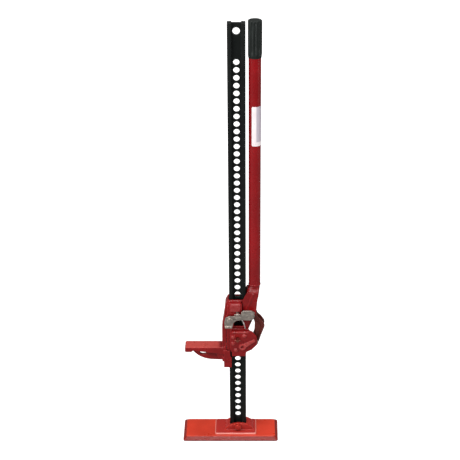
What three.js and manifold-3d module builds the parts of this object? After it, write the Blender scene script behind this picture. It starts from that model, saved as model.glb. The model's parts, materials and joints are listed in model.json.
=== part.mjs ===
// High-lift farm jack, in millimetres. +Z is up, +X is the handle side, -Y is the front.
// The origin is on the floor, under the centre of the bar.
import * as THREE from 'three';
import { mergeVertices } from 'three/addons/utils/BufferGeometryUtils.js';
import Module from 'manifold-3d';

const wasm = await Module();
wasm.setup();

// ---- driving dimensions ----
const GAP = 0.3; // between pieces that rest on each other
const ROUND = 24; // sides of a visible round
const SMALL_ROUND = 16; // sides of a small or hidden round
const SINK = 1; // how far a shank runs into its head, and a cut past a face

const BAR = { halfX: 23, halfY: 12, flange: 10.5, halfWeb: 3.5, bottom: 6.3, top: 1215.5 };
const HOLE = { first: 61, pitch: 20.64, count: 52, radius: 8, topZ: 1194, topRadius: 9.5 };
const CHANNEL = { halfX: 23.6, halfY: 12.6 }; // running clearance round the bar
const WALL_Y = 18.6; // outer face of the runners' collars
const LUG_Y = 7.5; // half width of the lugs between the pitmans

const BASE = { left: -156.5, right: 114, halfY: 51, edge: 4, top: 12, slope: 9, corner: 5 };
const PLATFORM = { left: -66, right: 52, halfY: 37.5, top: 18, slope: 3 };
const BOSS = { left: -39, right: 46, halfY: 20, top: 39 };
const BASE_BOLT = { z: 28.5, radius: 4.8, hole: 5.2, hex: 8.5, head: 6, nut: 7.5, end: 8.5 };

const UPPER_PIN = { z: HOLE.first + 17 * HOLE.pitch, wall: -30, end: -47.5 }; // wall: the bore's inner end
const LOWER_PIN = { z: HOLE.first + 13 * HOLE.pitch, wall: -28, end: -45.5 };
const PIN = { radius: 7.4, bore: 7.75, nose: -4, chamfer: 0.8, shoulder: -17.6, shank: 4, shankBore: 4.4 };
const CROSS_PIN = { radius: 1.5, hole: 1.6, half: 8.5, fromEnd: 3 };
const SPRING = { coilRadius: 6, wire: 0.75, turns: 4, stepsPerTurn: 12 };

const HEAD = { top: 442, bottom: 356, right: 33, blockFront: -33 };
const WINDOW = { left: -10, right: 16, bottom: 360, top: 386 };
const SPINE = { left: -43, right: -31, halfY: 16, bottom: 246 };
const LIP = { inner: WALL_Y + 0.4, outer: WALL_Y + 3.4 }; // keepers outside the small runner's collar
const NOSE = { tip: -147, top: 292, flange: 10, tipDrop: 14, halfWidth: 19, halfWeb: 5, rootHalfY: 15 };
const NOSE_SLOT = { x: -96, z: 268, halfX: 11, halfZ: 6 };

const LATCH = { x: -22, z: 392, front: -41, back: -37, bolt: 4, boss: 9, tab: 4 };
const LATCH_BOLT = { hex: 7, head: 4.2, washer: 8.5, washerThickness: 1.5, end: -21 };
const DETENT_WIRE = 1.7;

const PIVOT = { x: 32, z: 396, bolt: 5, hex: 8, head: 5.5, nut: 6.5, end: 7.5, eye: 11.5, lug: 12 };
const THROW = { radius: 14, start: 47.5 }; // crank from the pivot to the pitman pins, in degrees
const CRANK = {
  x: PIVOT.x + THROW.radius * Math.cos(THREE.MathUtils.degToRad(THROW.start)),
  z: PIVOT.z + THROW.radius * Math.sin(THREE.MathUtils.degToRad(THROW.start)),
  pin: 4.3,
  hole: 4.6,
  head: 5.6,
  eye: 9.7,
  inner: 7.9,
};
const CHEEK = { inner: 19.2, outer: 25.2 };
const PITMAN = { inner: 8.1, outer: 14.1, topEye: 7.3, bottomEye: 12.2, slot: 5.8 };
const SHEAR = { x: 46, z: 308, bolt: 5, hex: 9, head: 5.6, nut: 7, end: 8, lug: 11 };
const SWAY = 4.6; // how far the pitmans swing past the shear bolt
const WASHER = { inner: PITMAN.outer + GAP, outer: PITMAN.outer + 2.3, radius: 11 };

const SMALL = { bottom: 283.5, top: 354, halfX: 30.4, chamfer: 4, blockFront: -31 };
const RING = { x: 13.8, z: 303, radius: 10, pocket: 4.5, depth: 3, proud: 4 };
const FACE_PLATE_BACK = -25; // the face plate passes in front of the shear bolt's head

const TUBE = { x: 46.5, radius: 15.9, wall: 2.4, bottom: 482, top: 1218, chamfer: 0.8 };
const STUB = { bottom: 470, top: 545 };
const HANDLE_PIN = { z: 512, radius: 4, hole: 4.2, inset: 0.4 };
const GRIP = { bottom: 1126, top: 1222, radius: 18, taper: 6, rim: 3 };
const LABEL = { bottom: 893, top: 1000, start: -150, sweep: 240, thickness: 0.4, lift: 0.1 };

// ---- outlines, in X and Z ----
const HEAD_OUTLINE = [
  [-43, HEAD.bottom], [-40.5, 372], [-36, 400], [-33, 430], [-26, HEAD.top],
  [27, HEAD.top], [HEAD.right, 434], [HEAD.right, HEAD.bottom],
];
const HEAD_BLOCK_OUTLINE = [
  [-28, 398], [-28, 430], [-22, 440], [10, 440], [12.2, 437], [12.2, 399], [9, 395], [-24, 395],
];
const GUSSET_OUTLINE = [[30, HEAD.bottom], [34, HEAD.bottom], [43, 379], [44, 390], [30, 396]];
const GUIDE_OUTLINE = [
  [SPINE.left, 251], [-38.5, 246], [-38.5, 228], [-17, 228], [-17, 257], [-22, 262], [SPINE.left, 262],
];
const REAR_LIP_OUTLINE = [[-38.5, 248], [-17, 248], [-17, 266], [-20, 270], [-38.5, 270]];
const FRONT_LIP_OUTLINE = [[-38.5, 248], [-17, 248], [-17, 262], [-20.6, 266], [-20.6, 284], [-38.5, 284]];
const NOSE_OUTLINE = [
  [NOSE.tip, NOSE.top - 3], [NOSE.tip + 3, NOSE.top], [-36, NOSE.top], [SPINE.right, NOSE.top + 14],
  [SPINE.right, NOSE.top - NOSE.flange - 12], [NOSE.tip + 22, NOSE.top - NOSE.flange],
  [NOSE.tip + 18, NOSE.top - NOSE.tipDrop], [NOSE.tip + 2, NOSE.top - NOSE.tipDrop],
  [NOSE.tip, NOSE.top - NOSE.tipDrop + 2],
];
const NOSE_ROOT_OUTLINE = [[-66, NOSE.top - 6], [-38, NOSE.top - 6], [-38, 252], [-52, 252]];
const COLLAR_OUTLINE = [
  [-SMALL.halfX, SMALL.bottom + SMALL.chamfer], [-SMALL.halfX, SMALL.top], [SMALL.halfX, SMALL.top],
  [SMALL.halfX, SMALL.bottom + SMALL.chamfer], [SMALL.halfX - SMALL.chamfer, SMALL.bottom],
  [SMALL.chamfer - SMALL.halfX, SMALL.bottom],
];
const SMALL_BLOCK_OUTLINE = [
  [-20, 290], [-20, 346], [-15, 352], [30, 352], [35, 347], [34, 318], [29, 296], [25, 286], [21, 272],
  [-15.5, 272], [-15.5, 285],
];
const FACE_PLATE_OUTLINE = [
  [20, 352], [35, 352], [42, 348], [52.5, 333], [54.5, 318], [53, 308], [38, 292], [25, 286], [20, 286],
];
// The lever's leg is at the left, and its right arm passes under and beyond the upper pin's end.
const LATCH_OUTLINE = [
  [-35, 371], [-14, 370], [-11, 384], [-4, 390.5], [8, 393], [34, 392], [44, 396], [47, 404], [45, 416],
  [39, 422], [16, 422], [10.5, 417], [10, 409.5], [5.5, 405], [-4, 404.5], [-24, 404.5], [-33, 399],
  [-36, 384],
];
const CHEEK_OUTLINE = [
  [PIVOT.x - 10, PIVOT.z - 4], [13, 410], [13, 441], [19, 455], [26, 468], [58, 468], [54, 440], [51.2, 408],
  [49, 399], [PIVOT.x + 10, PIVOT.z - 6],
];
// The pitmans' centre line from the crank to the shear bolt, with the half width at each spot.
const PITMAN_SPOTS = [
  { x: CRANK.x, z: CRANK.z, r: PITMAN.topEye },
  { x: 49.5, z: 385, r: 6 },
  { x: 57, z: 372, r: 10 },
  { x: 61, z: 360, r: 13.5 },
  { x: 56, z: 334, r: 9.5 },
  { x: 51, z: 317, r: 9.5 },
  { x: SHEAR.x - SWAY / 2, z: SHEAR.z, r: PITMAN.bottomEye },
];

// ---- geometry helpers ----
function toSolid(geometry) {
  const plain = geometry.clone();
  plain.deleteAttribute('normal');
  plain.deleteAttribute('uv');
  const merged = mergeVertices(plain, 1e-4);
  return new wasm.Manifold(new wasm.Mesh({
    numProp: 3,
    vertProperties: new Float32Array(merged.attributes.position.array),
    triVerts: new Uint32Array(merged.index.array),
  }));
}

function toGeometry(solid) {
  const mesh = solid.getMesh();
  const geometry = new THREE.BufferGeometry();
  geometry.setAttribute('position', new THREE.BufferAttribute(new Float32Array(mesh.vertProperties), 3));
  geometry.setIndex(new THREE.BufferAttribute(new Uint32Array(mesh.triVerts), 1));
  geometry.computeVertexNormals();
  return geometry;
}

const join = (...solids) => solids.reduce((whole, solid) => whole.add(solid));
const cut = (body, ...tools) => tools.reduce((rest, tool) => rest.subtract(tool), body);

function block(x0, x1, y0, y1, z0, z1) {
  const geometry = new THREE.BoxGeometry(x1 - x0, y1 - y0, z1 - z0);
  geometry.translate((x0 + x1) / 2, (y0 + y1) / 2, (z0 + z1) / 2);
  return toSolid(geometry);
}

// A cylinder between two heights along Z, X or Y.
function rodZ(x, y, z0, z1, radius, sides = ROUND) {
  const geometry = new THREE.CylinderGeometry(radius, radius, z1 - z0, sides);
  geometry.rotateX(Math.PI / 2);
  geometry.translate(x, y, (z0 + z1) / 2);
  return toSolid(geometry);
}

function rodX(y, z, x0, x1, radius, sides = ROUND) {
  const geometry = new THREE.CylinderGeometry(radius, radius, x1 - x0, sides);
  geometry.rotateZ(Math.PI / 2);
  geometry.translate((x0 + x1) / 2, y, z);
  return toSolid(geometry);
}

function rodY(x, z, y0, y1, radius, sides = ROUND) {
  const geometry = new THREE.CylinderGeometry(radius, radius, y1 - y0, sides);
  geometry.translate(x, (y0 + y1) / 2, z);
  return toSolid(geometry);
}

const hexY = (x, z, y0, y1, radius) => rodY(x, z, y0, y1, radius, 6);

// A hole along Y that runs out past both faces.
const drillY = (x, z, y0, y1, radius) => rodY(x, z, y0 - SINK, y1 + SINK, radius, SMALL_ROUND);

// A hexagon bolt along Y, with its head in front of the seat.
const bolt = (x, z, seat, end, radius, hex, head) => join(
  rodY(x, z, seat - SINK, end, radius, SMALL_ROUND),
  hexY(x, z, seat - head, seat, hex),
);

const nut = (x, z, seat, thickness, hex, bore) => cut(hexY(x, z, seat, seat + thickness, hex),
  drillY(x, z, seat, seat + thickness, bore));

const washer = (x, z, y0, y1, radius, bore) => cut(rodY(x, z, y0, y1, radius), drillY(x, z, y0, y1, bore));

// An outline in X and Z, extruded from y0 to y1.
function plate(shape, y0, y1, curveSegments = 12) {
  const geometry = new THREE.ExtrudeGeometry(shape, { depth: y1 - y0, bevelEnabled: false, curveSegments });
  geometry.rotateX(Math.PI / 2);
  geometry.translate(0, y1, 0);
  return toSolid(geometry);
}

const outline = (points) => new THREE.Shape(points.map(([x, z]) => new THREE.Vector2(x, z)));
const polygonPlate = (points, y0, y1) => plate(outline(points), y0, y1);

// The outline of a belt round two circles in X and Z.
function linkShape(a, b) {
  const along = Math.atan2(b.z - a.z, b.x - a.x);
  const lean = Math.acos((a.r - b.r) / Math.hypot(b.x - a.x, b.z - a.z));
  const shape = new THREE.Shape();
  shape.absarc(a.x, a.z, a.r, along + lean, along - lean + 2 * Math.PI, false);
  shape.absarc(b.x, b.z, b.r, along - lean, along + lean, false);
  shape.closePath();
  return shape;
}

const link = (a, b, y0, y1) => plate(linkShape(a, b), y0, y1, 8);

function roundedRectangle(x0, x1, y0, y1, radius, perCorner = 5) {
  const centres = [[x1 - radius, y1 - radius], [x0 + radius, y1 - radius],
    [x0 + radius, y0 + radius], [x1 - radius, y0 + radius]];
  return centres.flatMap(([x, y], corner) => Array.from({ length: perCorner }, (_, i) => {
    const angle = (corner + i / (perCorner - 1)) * Math.PI / 2;
    return [x + radius * Math.cos(angle), y + radius * Math.sin(angle)];
  }));
}

// A closed skin over level convex sections: [[z, [[x, y], ...]], ...], each with as many points.
function loft(sections) {
  const size = sections[0][1].length;
  const positions = sections.flatMap(([z, points]) => points.flatMap(([x, y]) => [x, y, z]));
  const index = [];
  for (let level = 0; level < sections.length - 1; level += 1) {
    for (let i = 0; i < size; i += 1) {
      const a = level * size + i;
      const b = level * size + (i + 1) % size;
      index.push(a, b, b + size, a, b + size, a + size);
    }
  }
  const last = (sections.length - 1) * size;
  for (let i = 1; i < size - 1; i += 1) {
    index.push(0, i + 1, i, last, last + i, last + i + 1);
  }
  const geometry = new THREE.BufferGeometry();
  geometry.setAttribute('position', new THREE.Float32BufferAttribute(positions, 3));
  geometry.setIndex(index);
  return toSolid(geometry);
}

function latheZ(x, profile, sides = ROUND) {
  const geometry = new THREE.LatheGeometry(profile.map(([r, z]) => new THREE.Vector2(r, z)), sides);
  geometry.rotateX(Math.PI / 2);
  geometry.translate(x, 0, 0);
  return toSolid(geometry);
}

const barChannel = (z0, z1) => block(-CHANNEL.halfX, CHANNEL.halfX, -CHANNEL.halfY, CHANNEL.halfY, z0, z1);

// ---- base and bar ----
function makeBasePlate() {
  const { left, right, halfY, edge, top, slope, corner } = BASE;
  const rim = roundedRectangle(left, right, -halfY, halfY, corner);
  const deck = roundedRectangle(left + slope, right - slope, slope - halfY, halfY - slope, corner);
  const plateBody = loft([[0, rim], [edge, rim], [top, deck]]);
  const p = PLATFORM;
  const foot = roundedRectangle(p.left, p.right, -p.halfY, p.halfY, corner);
  const crownY = p.halfY - p.slope;
  const crown = roundedRectangle(p.left + p.slope, p.right - p.slope, -crownY, crownY, corner);
  const platform = loft([[top - SINK, foot], [p.top - p.slope, foot], [p.top, crown]]);
  const middle = (BOSS.left + BOSS.right) / 2;
  const arch = new THREE.Shape();
  arch.moveTo(BOSS.right, top - SINK);
  arch.absellipse(middle, top, BOSS.right - middle, BOSS.top - top, 0, Math.PI, false, 0);
  arch.lineTo(BOSS.left, top - SINK);
  const boss = plate(arch, -BOSS.halfY, BOSS.halfY, 20);
  const pocket = block(-BAR.halfX - GAP, BAR.halfX + GAP, -BAR.halfY - GAP, BAR.halfY + GAP,
    BAR.bottom - GAP, BOSS.top + SINK);
  const boltHole = drillY(0, BASE_BOLT.z, -BOSS.halfY, BOSS.halfY, BASE_BOLT.hole);
  return cut(join(plateBody, platform, boss), pocket, boltHole);
}

function makeBar() {
  const { halfX, halfY, flange, halfWeb, bottom, top } = BAR;
  const inner = halfX - flange;
  const section = new THREE.Shape([
    [-halfX, -halfY], [-inner, -halfY], [-inner, -halfWeb], [inner, -halfWeb], [inner, -halfY],
    [halfX, -halfY], [halfX, halfY], [inner, halfY], [inner, halfWeb], [-inner, halfWeb],
    [-inner, halfY], [-halfX, halfY],
  ].map(([x, y]) => new THREE.Vector2(x, y)));
  const geometry = new THREE.ExtrudeGeometry(section, { depth: top - bottom, bevelEnabled: false });
  geometry.translate(0, 0, bottom);
  const drill = (z, radius) => drillY(0, z, -halfWeb, halfWeb, radius);
  const heights = Array.from({ length: HOLE.count }, (_, i) => HOLE.first + i * HOLE.pitch);
  const climbing = heights.map((z) => drill(z, HOLE.radius));
  const ends = [drill(HOLE.topZ, HOLE.topRadius), drill(BASE_BOLT.z, BASE_BOLT.hole)];
  return cut(toSolid(geometry), ...climbing, ...ends);
}

const makeBaseBolt = () => bolt(0, BASE_BOLT.z, -BOSS.halfY - GAP, BOSS.halfY + BASE_BOLT.end,
  BASE_BOLT.radius, BASE_BOLT.hex, BASE_BOLT.head);

const makeBaseNut = () => nut(0, BASE_BOLT.z, BOSS.halfY + GAP, BASE_BOLT.nut, BASE_BOLT.hex, BASE_BOLT.hole);

// ---- large runner ----
function makeLargeRunner() {
  const head = polygonPlate(HEAD_OUTLINE, -WALL_Y, WALL_Y);
  const lug = link({ x: 24, z: PIVOT.z - 4, r: 13 }, { x: PIVOT.x, z: PIVOT.z, r: PIVOT.lug }, -LUG_Y, LUG_Y);
  const gusset = polygonPlate(GUSSET_OUTLINE, -LUG_Y, LUG_Y);
  const spine = block(SPINE.left, SPINE.right, -SPINE.halfY, SPINE.halfY, SPINE.bottom, HEAD.bottom + SINK);
  const guide = polygonPlate(GUIDE_OUTLINE, -WALL_Y - SINK, WALL_Y + SINK);
  const rearLip = polygonPlate(REAR_LIP_OUTLINE, LIP.inner, LIP.outer);
  const frontLip = polygonPlate(FRONT_LIP_OUTLINE, -LIP.outer, -LIP.inner);
  const frontBlock = polygonPlate(HEAD_BLOCK_OUTLINE, HEAD.blockFront, -CHANNEL.halfY);
  const latchBoss = rodY(LATCH.x, LATCH.z, LATCH.back + GAP, -CHANNEL.halfY, LATCH.boss);
  const window = block(WINDOW.left, WINDOW.right, -WALL_Y - SINK, 0, WINDOW.bottom, WINDOW.top);
  return cut(join(head, lug, gusset, spine, guide, rearLip, frontLip, frontBlock, latchBoss, makeNose()),
    barChannel(SPINE.bottom - 2 * HOLE.pitch, HEAD.top + SINK),
    window,
    rodY(0, UPPER_PIN.z, UPPER_PIN.wall, 0, PIN.bore),
    drillY(0, UPPER_PIN.z, HEAD.blockFront, 0, PIN.shankBore),
    drillY(PIVOT.x, PIVOT.z, -WALL_Y, WALL_Y, PIVOT.bolt + GAP),
    drillY(LATCH.x, LATCH.z, LATCH.back, LATCH_BOLT.end, LATCH.bolt + GAP));
}

function makeNose() {
  const { tip, top, flange, tipDrop, halfWidth, halfWeb, rootHalfY } = NOSE;
  const underTop = top - flange + 2;
  const webShape = new THREE.Shape();
  webShape.moveTo(tip + 18, underTop);
  webShape.lineTo(tip + 18, top - tipDrop + SINK);
  webShape.quadraticCurveTo(-108, 248, -72, 246);
  webShape.lineTo(-32, 244);
  webShape.lineTo(-32, underTop);
  webShape.closePath();
  const slot = new THREE.Path();
  slot.absellipse(NOSE_SLOT.x, NOSE_SLOT.z, NOSE_SLOT.halfX, NOSE_SLOT.halfZ, 0, 2 * Math.PI, true, 0);
  webShape.holes.push(slot);
  return join(
    polygonPlate(NOSE_OUTLINE, -halfWidth, halfWidth),
    plate(webShape, -halfWeb, halfWeb, 8),
    polygonPlate(NOSE_ROOT_OUTLINE, -rootHalfY, rootHalfY),
  );
}

// ---- small runner ----
function makeSmallRunner() {
  const { blockFront } = SMALL;
  const collar = polygonPlate(COLLAR_OUTLINE, -WALL_Y, WALL_Y);
  const frontBlock = polygonPlate(SMALL_BLOCK_OUTLINE, blockFront, SINK - WALL_Y);
  const facePlate = polygonPlate(FACE_PLATE_OUTLINE, blockFront, FACE_PLATE_BACK);
  const rib = link({ x: RING.x, z: RING.z, r: 7 }, { x: 45, z: 322, r: 3.5 },
    blockFront - RING.depth, blockFront + SINK);
  const ring = rodY(RING.x, RING.z, blockFront - RING.proud, blockFront + SINK, RING.radius);
  const lug = link({ x: 24, z: SHEAR.z + 1, r: 14 }, { x: SHEAR.x, z: SHEAR.z, r: SHEAR.lug }, -LUG_Y, LUG_Y);
  return cut(join(collar, frontBlock, facePlate, rib, ring, lug),
    barChannel(SMALL.bottom - HOLE.pitch, SMALL.top + HOLE.pitch),
    rodY(RING.x, RING.z, blockFront - RING.proud - SINK, blockFront - SINK, RING.pocket, SMALL_ROUND),
    rodY(0, LOWER_PIN.z, LOWER_PIN.wall, 0, PIN.bore),
    drillY(0, LOWER_PIN.z, blockFront, 0, PIN.shankBore),
    drillY(SHEAR.x, SHEAR.z, -LUG_Y, LUG_Y, SHEAR.bolt + GAP));
}

// ---- climbing pins and their springs ----
const makeClimbingPin = ({ z, end }) => cut(
  join(
    rodY(0, z, PIN.shoulder, PIN.nose - PIN.chamfer, PIN.radius),
    rodY(0, z, PIN.nose - PIN.chamfer - SINK, PIN.nose, PIN.radius - PIN.chamfer),
    rodY(0, z, end, PIN.shoulder + SINK, PIN.shank, SMALL_ROUND),
  ),
  rodX(end + CROSS_PIN.fromEnd, z, -PIN.shank - SINK, PIN.shank + SINK, CROSS_PIN.hole, SMALL_ROUND),
);

const makeCrossPin = ({ z, end }) => rodX(end + CROSS_PIN.fromEnd, z, -CROSS_PIN.half, CROSS_PIN.half,
  CROSS_PIN.radius, SMALL_ROUND);

class Helix extends THREE.Curve {
  constructor(z, y0, y1, radius, turns) {
    super();
    Object.assign(this, { z, y0, y1, radius, turns });
  }

  getPoint(t, target = new THREE.Vector3()) {
    const angle = 2 * Math.PI * this.turns * t;
    return target.set(
      this.radius * Math.cos(angle),
      this.y0 + (this.y1 - this.y0) * t,
      this.z + this.radius * Math.sin(angle),
    );
  }
}

function wireSolid(path, radius, steps, sides = 6) {
  const section = new THREE.Shape();
  section.absarc(0, 0, radius, 0, 2 * Math.PI, false);
  return toSolid(new THREE.ExtrudeGeometry(section, { extrudePath: path, steps, curveSegments: sides / 2 }));
}

function makePinSpring({ z, wall }) {
  const inset = SPRING.wire + GAP;
  const path = new Helix(z, wall + inset, PIN.shoulder - inset, SPRING.coilRadius, SPRING.turns);
  return wireSolid(path, SPRING.wire, SPRING.turns * SPRING.stepsPerTurn);
}

// ---- reversing latch ----
function makeLatch() {
  const lever = polygonPlate(LATCH_OUTLINE, LATCH.front, LATCH.back);
  const thumbTab = block(-34, -15, LATCH.front - LATCH.tab, LATCH.back, 368.5, 373.5);
  return cut(join(lever, thumbTab), drillY(LATCH.x, LATCH.z, LATCH.front, LATCH.back, LATCH.bolt + GAP));
}

const LATCH_SEAT = LATCH.front - GAP - LATCH_BOLT.washerThickness;
const makeLatchBolt = () => bolt(LATCH.x, LATCH.z, LATCH_SEAT - GAP, LATCH_BOLT.end, LATCH.bolt,
  LATCH_BOLT.hex, LATCH_BOLT.head);
const makeLatchWasher = () => washer(LATCH.x, LATCH.z, LATCH_SEAT, LATCH.front - GAP, LATCH_BOLT.washer,
  LATCH.bolt + GAP);

// A bowed wire in the window under the latch, from the head's wall down past the window's sill.
function makeDetentSpring() {
  const path = new THREE.CatmullRomCurve3([
    new THREE.Vector3(9, -20.5, 393),
    new THREE.Vector3(11.5, -28, 388),
    new THREE.Vector3(17.5, -30, 376),
    new THREE.Vector3(21, -28, 361),
    new THREE.Vector3(19.5, -22, 357.5),
  ]);
  return wireSolid(path, DETENT_WIRE, 16);
}

// ---- handle ----
function makeHandleSocket() {
  const { inner, outer } = CHEEK;
  const pivotEye = { x: PIVOT.x, z: PIVOT.z, r: PIVOT.eye };
  const crankEye = { x: CRANK.x, z: CRANK.z, r: CRANK.eye };
  const cheek = (y0, y1) => join(polygonPlate(CHEEK_OUTLINE, y0, y1), link(pivotEye, crankEye, y0, y1));
  const collar = TUBE.radius - 0.5;
  const neck = loft([
    [453, roundedRectangle(25.5, 57, -outer, outer, 3)],
    [466, roundedRectangle(26, 59, 3 - outer, outer - 3, 8)],
    [476, roundedRectangle(28, 61, -16, 16, 14)],
    [TUBE.bottom - GAP, roundedRectangle(TUBE.x - collar, TUBE.x + collar, -collar, collar, collar - 0.1)],
  ]);
  const stub = rodZ(TUBE.x, 0, STUB.bottom, STUB.top, TUBE.radius - TUBE.wall - GAP);
  return cut(join(cheek(-outer, -inner), cheek(inner, outer), neck, stub),
    drillY(PIVOT.x, PIVOT.z, -outer, outer, PIVOT.bolt + GAP),
    drillY(CRANK.x, CRANK.z, -outer, outer, CRANK.hole),
    drillY(TUBE.x, HANDLE_PIN.z, -TUBE.radius, TUBE.radius, HANDLE_PIN.hole));
}

const makeHandlePin = () => rodY(TUBE.x, HANDLE_PIN.z, HANDLE_PIN.inset - TUBE.radius,
  TUBE.radius - HANDLE_PIN.inset, HANDLE_PIN.radius, SMALL_ROUND);

function makeHandleTube() {
  const { x, radius, wall, bottom, top, chamfer } = TUBE;
  const inner = radius - wall;
  const shell = latheZ(x, [
    [inner, bottom], [radius - chamfer, bottom], [radius, bottom + chamfer], [radius, top], [inner, top],
    [inner, bottom],
  ]);
  return cut(shell, drillY(x, HANDLE_PIN.z, -radius, radius, HANDLE_PIN.hole));
}

function makeHandleGrip() {
  const { bottom, top, radius, taper, rim } = GRIP;
  const inner = TUBE.radius + GAP;
  return latheZ(TUBE.x, [
    [inner, bottom], [inner + 0.8, bottom], [radius, bottom + taper], [radius, top - rim],
    [radius - rim, top], [0, top], [0, TUBE.top + GAP], [inner, TUBE.top + GAP], [inner, bottom],
  ]);
}

function makeHandleLabel() {
  const inner = TUBE.radius + LABEL.lift;
  const start = THREE.MathUtils.degToRad(LABEL.start);
  const end = start + THREE.MathUtils.degToRad(LABEL.sweep);
  const band = new THREE.Shape();
  band.absarc(TUBE.x, 0, inner + LABEL.thickness, start, end, false);
  band.absarc(TUBE.x, 0, inner, end, start, true);
  band.closePath();
  const geometry = new THREE.ExtrudeGeometry(band,
    { depth: LABEL.top - LABEL.bottom, bevelEnabled: false, curveSegments: ROUND });
  geometry.translate(0, 0, LABEL.bottom);
  return toSolid(geometry);
}

const makePivotBolt = () => bolt(PIVOT.x, PIVOT.z, -CHEEK.outer - GAP, CHEEK.outer + PIVOT.end,
  PIVOT.bolt, PIVOT.hex, PIVOT.head);

// A shouldered stub in each cheek, which carries the pitman on its inner end.
function makeCrankPin(side) {
  const reach = (y0, y1, radius) => rodY(CRANK.x, CRANK.z, Math.min(side * y0, side * y1),
    Math.max(side * y0, side * y1), radius);
  const seat = CHEEK.outer + GAP;
  return join(reach(CRANK.inner, seat + SINK, CRANK.pin), reach(seat, CHEEK.outer + 3, CRANK.head));
}

// ---- pitmans ----
function makePitman(side) {
  const y0 = Math.min(side * PITMAN.inner, side * PITMAN.outer);
  const y1 = Math.max(side * PITMAN.inner, side * PITMAN.outer);
  const arm = join(...PITMAN_SPOTS.slice(1).map((spot, i) => link(PITMAN_SPOTS[i], spot, y0, y1)));
  const slotEnd = (x) => ({ x, z: SHEAR.z, r: PITMAN.slot });
  const slot = link(slotEnd(SHEAR.x - SWAY), slotEnd(SHEAR.x), y0 - SINK, y1 + SINK);
  return cut(arm, drillY(CRANK.x, CRANK.z, y0, y1, CRANK.hole), slot);
}

const makeShearWasher = (side) => washer(SHEAR.x, SHEAR.z, Math.min(side * WASHER.inner, side * WASHER.outer),
  Math.max(side * WASHER.inner, side * WASHER.outer), WASHER.radius, SHEAR.bolt + GAP);

const makeShearBolt = () => bolt(SHEAR.x, SHEAR.z, -WASHER.outer - GAP, WASHER.outer + SHEAR.end,
  SHEAR.bolt, SHEAR.hex, SHEAR.head);

// ---- the assembly ----
const material = (color, roughness, metalness) => (
  new THREE.MeshStandardMaterial({ color, roughness, metalness })
);
const redCasting = () => material(0x8c1c1a, 0.35, 0.1);
const baseRed = () => material(0xc03824, 0.4, 0.1);
const blackPaint = () => material(0x14171a, 0.45, 0.1);
const zinc = () => material(0xa8a39b, 0.35, 0.9);
const steel = () => material(0x6f6e6c, 0.4, 0.9);
const rubber = () => material(0x24262a, 0.8, 0);
const label = () => material(0xe6dadc, 0.5, 0);

const pieces = [
  ['base_plate', makeBasePlate(), baseRed()],
  ['standard_bar', makeBar(), blackPaint()],
  ['base_bolt', makeBaseBolt(), baseRed()],
  ['base_nut', makeBaseNut(), baseRed()],
  ['large_runner', makeLargeRunner(), redCasting()],
  ['small_runner', makeSmallRunner(), redCasting()],
  ['upper_climbing_pin', makeClimbingPin(UPPER_PIN), steel()],
  ['upper_cross_pin', makeCrossPin(UPPER_PIN), zinc()],
  ['upper_pin_spring', makePinSpring(UPPER_PIN), steel()],
  ['lower_climbing_pin', makeClimbingPin(LOWER_PIN), steel()],
  ['lower_cross_pin', makeCrossPin(LOWER_PIN), zinc()],
  ['lower_pin_spring', makePinSpring(LOWER_PIN), steel()],
  ['reversing_latch', makeLatch(), zinc()],
  ['latch_bolt', makeLatchBolt(), zinc()],
  ['latch_washer', makeLatchWasher(), zinc()],
  ['detent_spring', makeDetentSpring(), steel()],
  ['handle_socket', makeHandleSocket(), redCasting()],
  ['handle_pin', makeHandlePin(), redCasting()],
  ['handle_tube', makeHandleTube(), redCasting()],
  ['handle_grip', makeHandleGrip(), rubber()],
  ['handle_label', makeHandleLabel(), label()],
  ['pivot_bolt', makePivotBolt(), zinc()],
  ['pivot_nut', nut(PIVOT.x, PIVOT.z, CHEEK.outer + GAP, PIVOT.nut, PIVOT.hex, PIVOT.bolt + GAP), zinc()],
  ['crank_pin_front', makeCrankPin(-1), zinc()],
  ['crank_pin_rear', makeCrankPin(1), zinc()],
  ['pitman_front', makePitman(-1), redCasting()],
  ['pitman_rear', makePitman(1), redCasting()],
  ['shear_bolt', makeShearBolt(), zinc()],
  ['shear_nut', nut(SHEAR.x, SHEAR.z, WASHER.outer + GAP, SHEAR.nut, SHEAR.hex, SHEAR.bolt + GAP), zinc()],
  ['shear_washer_front', makeShearWasher(-1), zinc()],
  ['shear_washer_rear', makeShearWasher(1), zinc()],
];

const jack = new THREE.Group();
for (const [name, solid, finish] of pieces) {
  const mesh = new THREE.Mesh(toGeometry(solid), finish);
  mesh.name = name;
  jack.add(mesh);
}

export default jack;
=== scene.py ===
"""The looks of a high-lift farm jack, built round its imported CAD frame.

Metres, +Z up. The handle is on the +X side, the lifting nose on -X, and the latch in front, on -Y.
"""
import json
import math

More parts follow.
